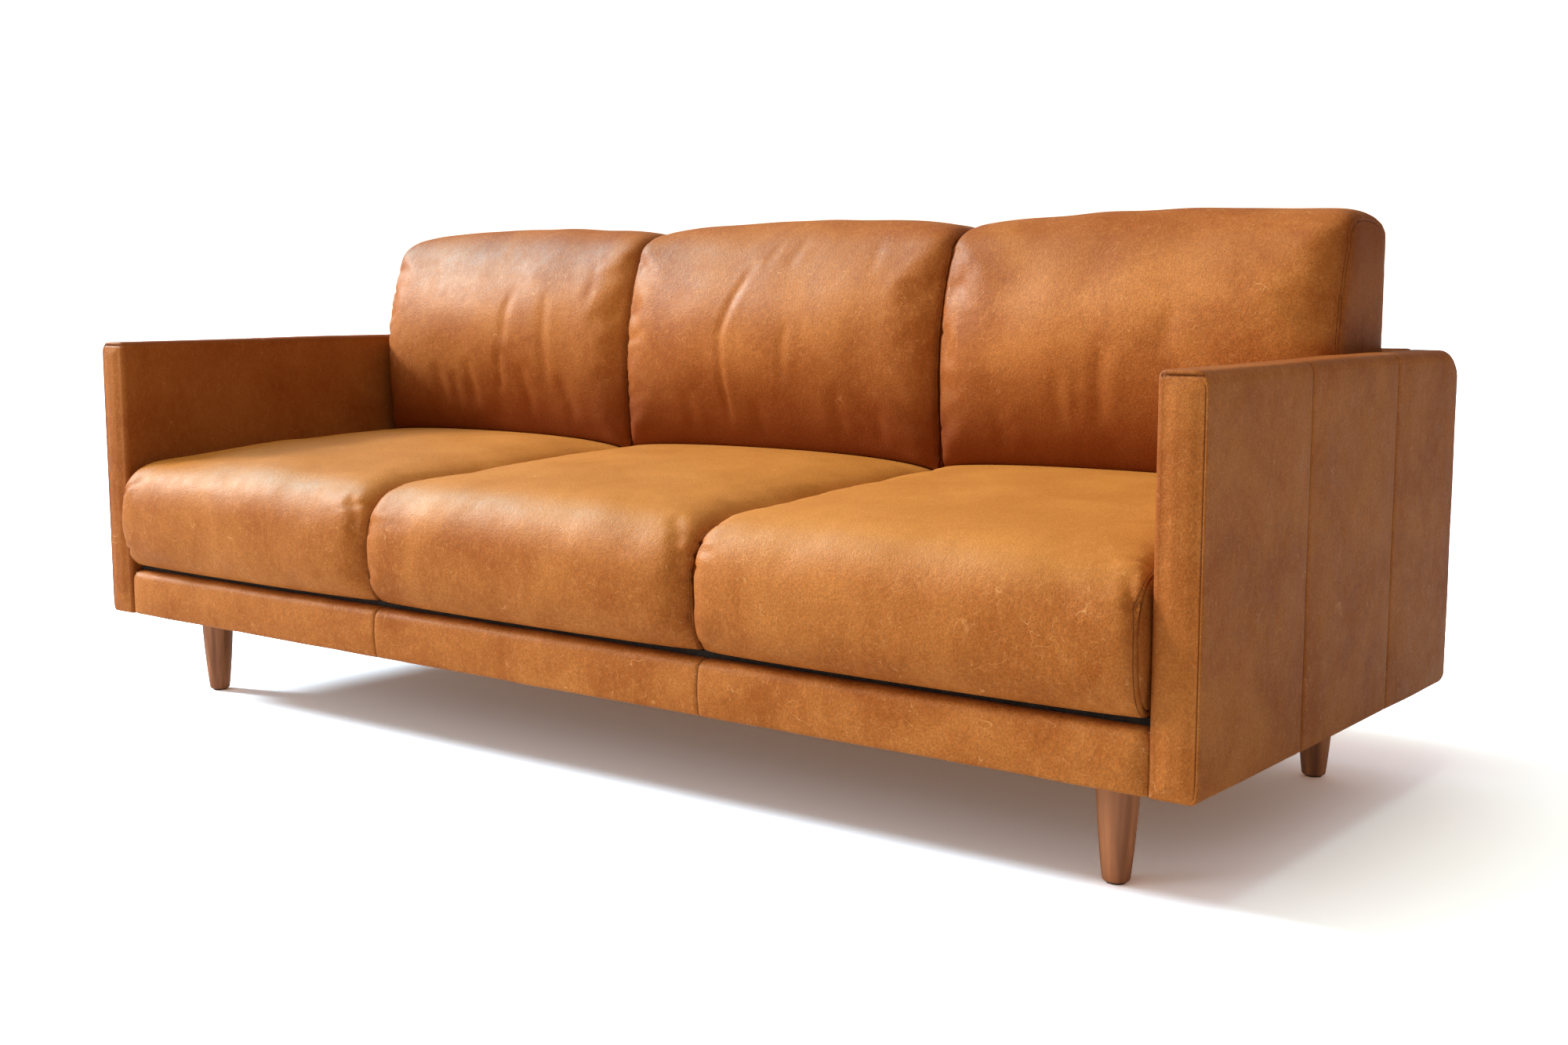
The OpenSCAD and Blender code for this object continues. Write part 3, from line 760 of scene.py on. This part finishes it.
def arm_front_lift(depth, ring):
    """The front panel: a full field, and a seam down its outer side."""
    outer = smooth_step((ring[:, 0] - outer_x + 12 * MM) / (6 * MM)) * (ring[:, 2] < SLIT_Z)
    field = 3 * MM * smooth_step(depth / (22 * MM))
    return -field + outer * 0.8 * MM * valley(depth - FRONT_SEAM, 1.0 * MM)


def arm_seams(rings, front_rings):
    """1 on the seams of an arm: across its outer side and top, and round its front panel."""
    outside = smooth_step((rings[..., 0] - inner_x - 8 * MM) / (6 * MM))
    seams = outside * sum(valley(rings[..., 1] - s, 1.0 * MM) for s in ARM_SEAMS)
    front = rings[:front_rings]
    depth = front[-1, :, 0].max() - front[..., 0]
    seams[:front_rings] = valley(depth - FRONT_SEAM, 0.8 * MM) * (front[..., 2] < SLIT_Z)
    return np.maximum(seams, slit(rings))


def arm(side):
    sign = SIDES[side]
    ends = np.array([0, 0.8, 1.8, 3, 5, 7, 9, 12, 16]) * MM
    rounds = REAR_TOP_R * (1 - np.cos(np.radians(np.linspace(0, 90, 16))))
    places = np.concatenate([
        front_y + ends,
        spread(front_y + 22 * MM, rear_y - REAR_TOP_R - 6 * MM, 10 * MM, ARM_SEAMS),
        rear_y - rounds[::-1],
    ])
    rings = [arm_ring(float(y)) for y in places]
    close = [0.8, 1.6, 2.2, 2.8, 3.6, 4.6, 5.4, 6.2, 7, 7.8, 8.6]
    depths = np.array(close + [10, 12, 14.5, 17, 20, 23, 26, 29]) * MM
    front = end_rings(rings[0], 1, depths, arm_front_lift)[::-1]
    rear = end_rings(rings[-1], 1, np.array([3, 8, 15, 24]) * MM, lambda depth, ring: 0)
    rings = np.array(front + rings + rear)
    normals = ring_normals(rings)
    seams = arm_seams(rings, len(front))
    rings[..., 1] += slit(rings) * 3 * MM
    calm = smooth_step((rings[..., 1] - front_y) / (40 * MM))
    rings += normals * (ripple(rings, 170 * MM, 51) * 0.35 * MM * calm)[..., None]
    rings[..., 0] *= sign
    hold = (inner_x, 9) if sign > 0 else (-9, -inner_x)
    hold_inside(rings, 0, *hold)
    hold_inside(rings, 2, base_z, 9)
    # Painted shade on the arm: a little all over, more on its inner face and along its top.
    painted_light_shade = -0.2 - 0.36 * smooth_step((inner_x + 14 * MM - np.abs(rings[..., 0])) / (12 * MM))
    painted_light_shade -= 0.35 * smooth_step((rings[..., 2] - arm_z + 12 * MM) / (8 * MM))
    piece = skin(f"arm_upholstery_{side}", rings, seams, painted_light_shade)
    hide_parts(f"arm_cover_{side}", f"arm_front_panel_{side}", f"arm_pad_{side}")
    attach(piece, "root")
    return piece


# ---------- front rail and back ----------

PANEL_SEAMS = (-bay_edge, bay_edge)


def seam_spread(step):
    return spread(-inner_x, inner_x, step, PANEL_SEAMS)


def upright_seams(rings):
    """1 on the seams of the rail and the back, which stand under the gaps of the cushions."""
    return sum(valley(rings[..., 0] - s, 1.0 * MM) for s in PANEL_SEAMS)


def rail_ring(x):
    to_end = inner_x - abs(x)
    seam = max(valley(x - s, 3 * MM) for s in PANEL_SEAMS)
    ease = eased(to_end, 4 * MM)
    z1 = rail_high.z + 3 * MM - ease
    sides = (shares(14), shares(3), shares(10), shares(5))
    loop = rounded_loop(front_y + ease, rail_high.y, base_z, z1, (6 * MM, 15 * MM, 12 * MM, 1 * MM), sides)
    height = np.clip((loop[:, 1] - base_z) / (z1 - base_z), 0, 1)
    front = smooth_step((rail_high.y - 12 * MM - loop[:, 0]) / (14 * MM))
    bow = 4.5 * MM * np.sin(math.pi * height) * smooth_step(to_end / (25 * MM))
    loop[:, 0] -= front * (bow - SEAM_DEPTH * seam)
    loop[:, 1] -= (height > 0.8) * seam * 1.6 * MM
    return np.column_stack([np.full(len(loop), x), loop])


def front_rail():
    rings = np.array([rail_ring(float(x)) for x in seam_spread(12 * MM)])
    normals = ring_normals(rings)
    rings += normals * (ripple(rings, 120 * MM, 61) * 0.5 * MM)[..., None]
    hold_inside(rings, 0, -inner_x, inner_x)
    hold_inside(rings, 2, base_z, 1)
    piece = skin("front_rail_upholstery", rings, upright_seams(rings), np.zeros(rings.shape[:2]))
    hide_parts("rail_cover", "rail_pad")
    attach(piece, "root")
    return piece


# How far the rear leather stands out, so that its seams don't reach the board behind it
PROUD = 1.8 * MM


def back_ring(x):
    seam = max(valley(x - s, 3.2 * MM) for s in PANEL_SEAMS)
    nearest = min(abs(x - s) for s in PANEL_SEAMS)
    y0, y1, z0, z1 = inside_low.y, rear_y, base_z, arm_z + 2 * MM
    points = []
    for y, z, sy, sz, r, start in (
        (y0, z0, 1, 1, 4 * MM, 270), (y0, z1, 1, -1, 14 * MM, 180),
        (y1, z1, -1, -1, REAR_TOP_R, 90), (y1, z0, -1, 1, REAR_FOOT_R, 0),
    ):
        for a in np.radians(np.linspace(start, start - 90, 10)):
            points.append((y + sy * r + r * math.cos(a), z + sz * r + r * math.sin(a)))
    corners = np.array(points)
    steps = {9: 44, 19: 3, 29: 46, 39: 4}
    loop = []
    for k, point in enumerate(corners):
        loop.append(point)
        if k in steps:
            following = corners[(k + 1) % len(corners)]
            loop += [point + (following - point) * t for t in np.linspace(0, 1, steps[k] + 2)[1:-1]]
    loop = np.array(loop)
    outside = smooth_step((loop[:, 0] - y1 + 45 * MM) / (20 * MM))
    puff = 2 * MM * smooth_step(nearest / (80 * MM))
    upright = smooth_step((loop[:, 1] - z0) / (40 * MM)) * smooth_step((z1 - loop[:, 1]) / (40 * MM))
    loop[:, 0] += outside * (upright * (PROUD + puff) - 0.8 * SEAM_DEPTH * seam)
    loop[:, 1] -= outside * (1 - upright) * SEAM_DEPTH * seam * np.sign(loop[:, 1] - (z0 + z1) / 2)
    return np.column_stack([np.full(len(loop), x), loop])


def back():
    rings = np.array([back_ring(float(x)) for x in seam_spread(14 * MM)])
    normals = ring_normals(rings)
    rings += normals * (ripple(rings, 160 * MM, 71) * 0.6 * MM)[..., None]
    hold_inside(rings, 0, -inner_x, inner_x)
    hold_inside(rings, 1, inside_low.y, 1)
    hold_inside(rings, 2, base_z, 1)
    piece = skin("back_upholstery", rings, upright_seams(rings), np.zeros(rings.shape[:2]))
    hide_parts("inside_back_cover", "outside_back_cover", "back_pad")
    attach(piece, "root")
    return piece


# ---------- materials ----------

# What the camera sees of the floor: a brighter, bluer base colour, and a warm painted glow that lightens and
# warms its shadows.
FLOOR_SEEN = (1.85, 2.3, 2.75)
FLOOR_GLOW = (0.115, 0.04, 0.0)


class Shader:
    """A material and the node tree that it is built from."""

    def __init__(self, name):
        self.material = bpy.data.materials.new(name)
        self.material.use_nodes = True
        self.tree = self.material.node_tree
        self.bsdf = self.tree.nodes["Principled BSDF"]
        self.coords = self.tree.nodes.new("ShaderNodeTexCoord").outputs["Object"]

    def feed(self, socket, value):
        if isinstance(value, bpy.types.NodeSocket):
            self.tree.links.new(value, socket)
        else:
            socket.default_value = value

    def set(self, **values):
        for name, value in values.items():
            self.feed(self.bsdf.inputs[name.replace("_", " ")], value)

    def stretched(self, scale):
        node = self.tree.nodes.new("ShaderNodeMapping")
        self.feed(node.inputs["Vector"], self.coords)
        node.inputs["Scale"].default_value = scale
        return node.outputs["Vector"]

    def noise(self, scale, detail=3, roughness=0.5, vector=None, distortion=0):
        node = self.tree.nodes.new("ShaderNodeTexNoise")
        self.feed(node.inputs["Vector"], vector or self.coords)
        node.inputs["Scale"].default_value = scale
        node.inputs["Detail"].default_value = detail
        node.inputs["Roughness"].default_value = roughness
        node.inputs["Distortion"].default_value = distortion
        return node.outputs["Fac"]

    def attribute(self, name):
        node = self.tree.nodes.new("ShaderNodeAttribute")
        node.attribute_name = name
        return node.outputs["Fac"]

    def cells(self, scale):
        node = self.tree.nodes.new("ShaderNodeTexVoronoi")
        self.feed(node.inputs["Vector"], self.coords)
        node.inputs["Scale"].default_value = scale
        return node.outputs["Distance"]

    def remap(self, value, low, high, to_low=0, to_high=1):
        node = self.tree.nodes.new("ShaderNodeMapRange")
        self.feed(node.inputs["Value"], value)
        node.inputs["From Min"].default_value = low
        node.inputs["From Max"].default_value = high
        node.inputs["To Min"].default_value = to_low
        node.inputs["To Max"].default_value = to_high
        return node.outputs["Result"]

    def math(self, operation, a, b=0.0):
        node = self.tree.nodes.new("ShaderNodeMath")
        node.operation = operation
        self.feed(node.inputs[0], a)
        self.feed(node.inputs[1], b)
        return node.outputs["Value"]

    def blend(self, share, a, b, mode="MIX"):
        node = self.tree.nodes.new("ShaderNodeMix")
        node.data_type = "RGBA"
        node.blend_type = mode
        self.feed(node.inputs["Factor"], share)
        self.feed(node.inputs["A"], a)
        self.feed(node.inputs["B"], b)
        return node.outputs["Result"]

    def bump(self, height, distance, normal=None):
        node = self.tree.nodes.new("ShaderNodeBump")
        node.inputs["Distance"].default_value = distance
        self.feed(node.inputs["Height"], height)
        if normal is not None:
            self.feed(node.inputs["Normal"], normal)
        return node.outputs["Normal"]


def colour(r, g, b):
    return (r, g, b, 1)


LEATHER_DEEP, LEATHER_TAN = colour(0.35, 0.106, 0.019), colour(0.49, 0.185, 0.043)
STREAK, RUBBED, SCRATCH = colour(0.32, 0.082, 0.014), colour(0.58, 0.235, 0.065), colour(0.80, 0.42, 0.17)
# Colours of painted light, of painted shade, and of the seams' dark thread with painted shade
PAINTED_LIGHT, PAINTED_SHADE, SEAM_THREAD_AND_SHADE = colour(0.56, 0.25, 0.046), colour(0.17, 0.029, 0.004), colour(0.06, 0.014, 0.004)
SCRATCHES = ((15, 0.004, 0.62), (34, 0.006, 0.52), (52, 0.008, 0.4))


def leather_material():
    """Pull-up leather: clouded tan with faint streaks, thin pale scratches, pebbled grain, dark seams with
    painted shade in them, and painted light and shade from the mesh.
    """
    s = Shader("tan_leather")
    clouds = s.noise(6, 5, 0.6, None, 0.5)
    base = s.blend(s.remap(clouds, 0.36, 0.64), LEATHER_DEEP, LEATHER_TAN)
    streaks = s.noise(55, 4, 0.65, s.stretched((1, 1, 0.5)))
    base = s.blend(s.remap(streaks, 0.5, 0.8, 0, 0.26), base, STREAK)
    rubbed = s.noise(110, 3, 0.65, s.stretched((1, 1, 0.6)))
    base = s.blend(s.remap(rubbed, 0.5, 0.8, 0, 0.5), base, RUBBED)
    speckle = s.remap(s.noise(320, 2, 0.7), 0.35, 0.65, 0.81, 1.16)
    base = s.blend(1.0, base, speckle, "MULTIPLY")
    for scale, width, share in SCRATCHES:
        contour = s.math("ABSOLUTE", s.math("SUBTRACT", s.noise(scale, 2, 0.6, None, 1.0), 0.5))
        broken = s.remap(s.noise(scale * 1.7, 2), 0.5, 0.62)
        scratch = s.math("MULTIPLY", s.remap(contour, 0, width, share, 0), broken)
        base = s.blend(scratch, base, SCRATCH)
    # Painted light from the mesh makes the leather paler and yellower, and painted shade makes it dark.
    painted_light_shade = s.attribute("painted_light_shade")
    base = s.blend(s.remap(painted_light_shade, 0, 1, 0, 0.5), base, PAINTED_LIGHT)
    base = s.blend(s.remap(painted_light_shade, -1, 0, 0.85, 0), base, PAINTED_SHADE)
    # The seams: dark thread, with painted shade in the seam.
    seam = s.attribute("seam")
    base = s.blend(s.math("MULTIPLY", seam, 0.8), base, SEAM_THREAD_AND_SHADE)
    s.set(Base_Color=base, Specular_IOR_Level=0.14, Specular_Tint=colour(1, 0.72, 0.5))
    s.set(Roughness=s.remap(s.noise(30, 4, 0.6), 0.3, 0.7, 0.45, 0.56))
    grain = s.bump(s.cells(420), 0.00026)
    s.set(Normal=s.bump(s.noise(150, 3, 0.6), 0.00045, grain))
    return s.material


def wood_material(name, dark, light, ring_scale, roughness):
    s = Shader(name)
    wander = s.noise(18, 3, 0.5, s.stretched((1, 1, 0.12)))
    fibre = s.noise(170, 4, 0.6, s.stretched((1, 1, 0.04)))
    bands = s.noise(ring_scale, 2, 0.5, s.stretched((1, 1, 0.06)), 0.6)
    base = s.blend(s.remap(bands, 0.35, 0.65), dark, light)
    base = s.blend(s.remap(fibre, 0.45, 0.75, 0, 0.5), base, dark)
    base = s.blend(s.remap(wander, 0.4, 0.7, 0, 0.35), base, light)
    s.set(Base_Color=base, Specular_IOR_Level=0.5)
    s.set(Roughness=s.remap(fibre, 0.3, 0.7, roughness, roughness + 0.12))
    s.set(Normal=s.bump(fibre, 0.0003))
    return s.material


def steel_material():
    s = Shader("plated_steel")
    brushed = s.noise(240, 3, 0.6, s.stretched((1, 0.1, 1)))
    s.set(Base_Color=s.blend(brushed, colour(0.42, 0.42, 0.43), colour(0.66, 0.66, 0.67)), Metallic=1.0)
    s.set(Roughness=s.remap(brushed, 0.3, 0.7, 0.28, 0.42))
    return s.material


def cloth_material(name, dark, light, threads):
    s = Shader(name)
    warp = s.noise(threads, 2, 0.5, s.stretched((1, 0.12, 0.12)))
    weft = s.noise(threads, 2, 0.5, s.stretched((0.12, 1, 0.12)))
    weave = s.math("MULTIPLY", warp, weft)
    s.set(Base_Color=s.blend(s.remap(weave, 0.15, 0.35), dark, light), Sheen_Weight=0.25)
    s.set(Roughness=s.remap(weave, 0.1, 0.4, 0.95, 0.8), Normal=s.bump(weave, 0.0005))
    return s.material


def foam_material():
    s = Shader("foam")
    cells = s.cells(420)
    tone = s.noise(9, 3)
    base = s.blend(tone, colour(0.78, 0.70, 0.48), colour(0.90, 0.85, 0.68))
    s.set(Base_Color=base, Roughness=s.remap(cells, 0, 0.5, 1.0, 0.85), Normal=s.bump(cells, 0.0006))
    return s.material


def plastic_material():
    s = Shader("glide_plastic")
    mould = s.noise(300, 3)
    s.set(Base_Color=s.blend(mould, colour(0.02, 0.018, 0.016), colour(0.05, 0.045, 0.04)))
    s.set(Roughness=s.remap(mould, 0.3, 0.7, 0.45, 0.6), Normal=s.bump(mould, 0.0001))
    return s.material


def floor_material():
    """A pale floor. The camera sees it brighter than it lights the sofa, as on a studio cyclorama, and with a
    warm painted glow that lightens its shadows.
    """
    s = Shader("studio_floor")
    to_camera = s.tree.nodes.new("ShaderNodeLightPath").outputs["Is Camera Ray"]
    tint = s.blend(to_camera, colour(0.8, 0.79, 0.78), colour(*FLOOR_SEEN))
    s.set(Base_Color=s.blend(1.0, tint, s.remap(s.noise(3, 2), 0, 1, 0.98, 1.0), "MULTIPLY"), Roughness=1.0)
    s.set(Specular_IOR_Level=0.0, Emission_Color=colour(*FLOOR_GLOW))
    s.set(Emission_Strength=to_camera)
    return s.material


WALNUT_DARK, WALNUT_LIGHT = colour(0.22, 0.074, 0.028), colour(0.70, 0.295, 0.125)
PINE_DARK, PINE_LIGHT = colour(0.48, 0.31, 0.16), colour(0.72, 0.54, 0.33)
CLOTH_DARK, CLOTH_LIGHT = colour(0.005, 0.003, 0.002), colour(0.015, 0.009, 0.006)
JUTE_DARK, JUTE_LIGHT = colour(0.10, 0.085, 0.06), colour(0.26, 0.22, 0.16)


def make_materials():
    return {
        "leather": leather_material(),
        "walnut": wood_material("walnut_stain", WALNUT_DARK, WALNUT_LIGHT, 30, 0.40),
        "timber": wood_material("pine_timber", PINE_DARK, PINE_LIGHT, 22, 0.6),
        "steel": steel_material(),
        "black_cloth": cloth_material("black_cloth", CLOTH_DARK, CLOTH_LIGHT, 900),
        "foam": foam_material(),
        "webbing": cloth_material("jute_webbing", JUTE_DARK, JUTE_LIGHT, 420),
        "glide": plastic_material(),
    }


def dress_frame(materials):
    """Gives every CAD node the material of its slot."""
    for row in frame["record"]["subparts"]:
        node = frame["nodes"][row["node"]]
        node.data.materials.clear()
        node.data.materials.append(materials[row["material_slot"]])


# ---------- studio ----------

KEY_FROM = (-0.85, -0.25, 0.47)


def aim(thing, target):
    thing.rotation_euler = (Vector(target) - thing.location).to_track_quat("-Z", "Y").to_euler()


def area_light(name, place, target, size, power, tint, sheen_only=False):
    lamp = bpy.data.lights.new(name, "AREA")
    lamp.shape = "RECTANGLE"
    lamp.size, lamp.size_y = size
    lamp.energy = power
    lamp.color = tint
    light = bpy.data.objects.new(name, lamp)
    light.location = place
    light.visible_diffuse = not sheen_only
    aim(light, target)
    bpy.context.scene.collection.objects.link(light)


def sun_light(direction, strength, angle_deg, tint):
    lamp = bpy.data.lights.new("key_sun", "SUN")
    lamp.energy = strength
    lamp.angle = math.radians(angle_deg)
    lamp.color = tint
    light = bpy.data.objects.new("key_sun", lamp)
    light.location = Vector(direction) * 6
    aim(light, (0, 0, 0))
    bpy.context.scene.collection.objects.link(light)


def studio_world(seen, cast, bias):
    """White behind the sofa for the camera, and a dimmer light on it.

    The light is strongest from the side that the key light comes from.
    """
    world = bpy.data.worlds.new("studio")
    world.use_nodes = True
    nodes, links = world.node_tree.nodes, world.node_tree.links
    background = nodes["Background"]
    toward = nodes.new("ShaderNodeVectorMath")
    toward.operation = "DOT_PRODUCT"
    toward.inputs[1].default_value = Vector(KEY_FROM).normalized()
    links.new(nodes.new("ShaderNodeTexCoord").outputs["Generated"], toward.inputs[0])
    shade = nodes.new("ShaderNodeMapRange")
    shade.inputs["From Min"].default_value = -1
    shade.inputs["To Min"].default_value = cast * (1 - bias)
    shade.inputs["To Max"].default_value = cast * (1 + bias)
    links.new(toward.outputs["Value"], shade.inputs["Value"])
    level = nodes.new("ShaderNodeMapRange")
    level.inputs["To Max"].default_value = seen
    links.new(shade.outputs["Result"], level.inputs["To Min"])
    links.new(nodes.new("ShaderNodeLightPath").outputs["Is Camera Ray"], level.inputs["Value"])
    links.new(level.outputs["Result"], background.inputs["Strength"])
    background.inputs["Color"].default_value = (1.0, 0.83, 0.74, 1)
    bpy.context.scene.world = world


def studio_floor():
    half = 30
    mesh = bpy.data.meshes.new("floor")
    corners = [(-half, -half, 0), (half, -half, 0), (half, half, 0), (-half, half, 0)]
    mesh.from_pydata(corners, [], [(0, 1, 2, 3)])
    mesh.materials.append(floor_material())
    floor = bpy.data.objects.new("floor", mesh)
    bpy.context.scene.collection.objects.link(floor)


def camera():
    data = bpy.data.cameras.new("camera")
    data.sensor_width = 36
    data.lens = 41.77
    eye = bpy.data.objects.new("camera", data)
    eye.location = (2.046, -2.430, 0.763)
    eye.rotation_euler = (math.radians(82.96), 0, math.radians(37.64))
    bpy.context.scene.collection.objects.link(eye)
    bpy.context.scene.camera = eye


def studio():
    studio_world(seen=1.5, cast=0.40, bias=0.6)
    studio_floor()
    sun_light(KEY_FROM, 3.5, 12, (1.0, 0.99, 0.95))
    sheen = (0.35, 1.36, 1.65)
    soft = (1.0, 0.98, 0.93)
    area_light("sheen_box", (-4.9, -0.5, 4.4), (0, 0, 0.5), (2.6, 2.6), 290, sheen, sheen_only=True)
    area_light("left_soft", (-3.6, -1.0, 2.6), (0, 0, 0.4), (1.6, 1.6), 58, soft)
    area_light("front_soft", (-2.5, -4.5, 1.8), (0, 0, 0.4), (2.0, 2.0), 24, soft)
    area_light("top_fill", (0.2, -0.9, 4.2), (0, 0, 0.4), (3.0, 1.6), 46, (0.9, 1.0, 0.72))
    bpy.context.scene.view_settings.view_transform = "Standard"
    camera()


# ---------- the sofa ----------

def upholster(leather):
    pieces = [seat_cushion(side) for side in BAYS]
    pieces += [back_cushion(side) for side in BAYS]
    pieces += [arm(side) for side in SIDES]
    pieces += [front_rail(), back()]
    for piece in pieces:
        piece.data.materials.append(leather)


materials = make_materials()
dress_frame(materials)
upholster(materials["leather"])
studio()
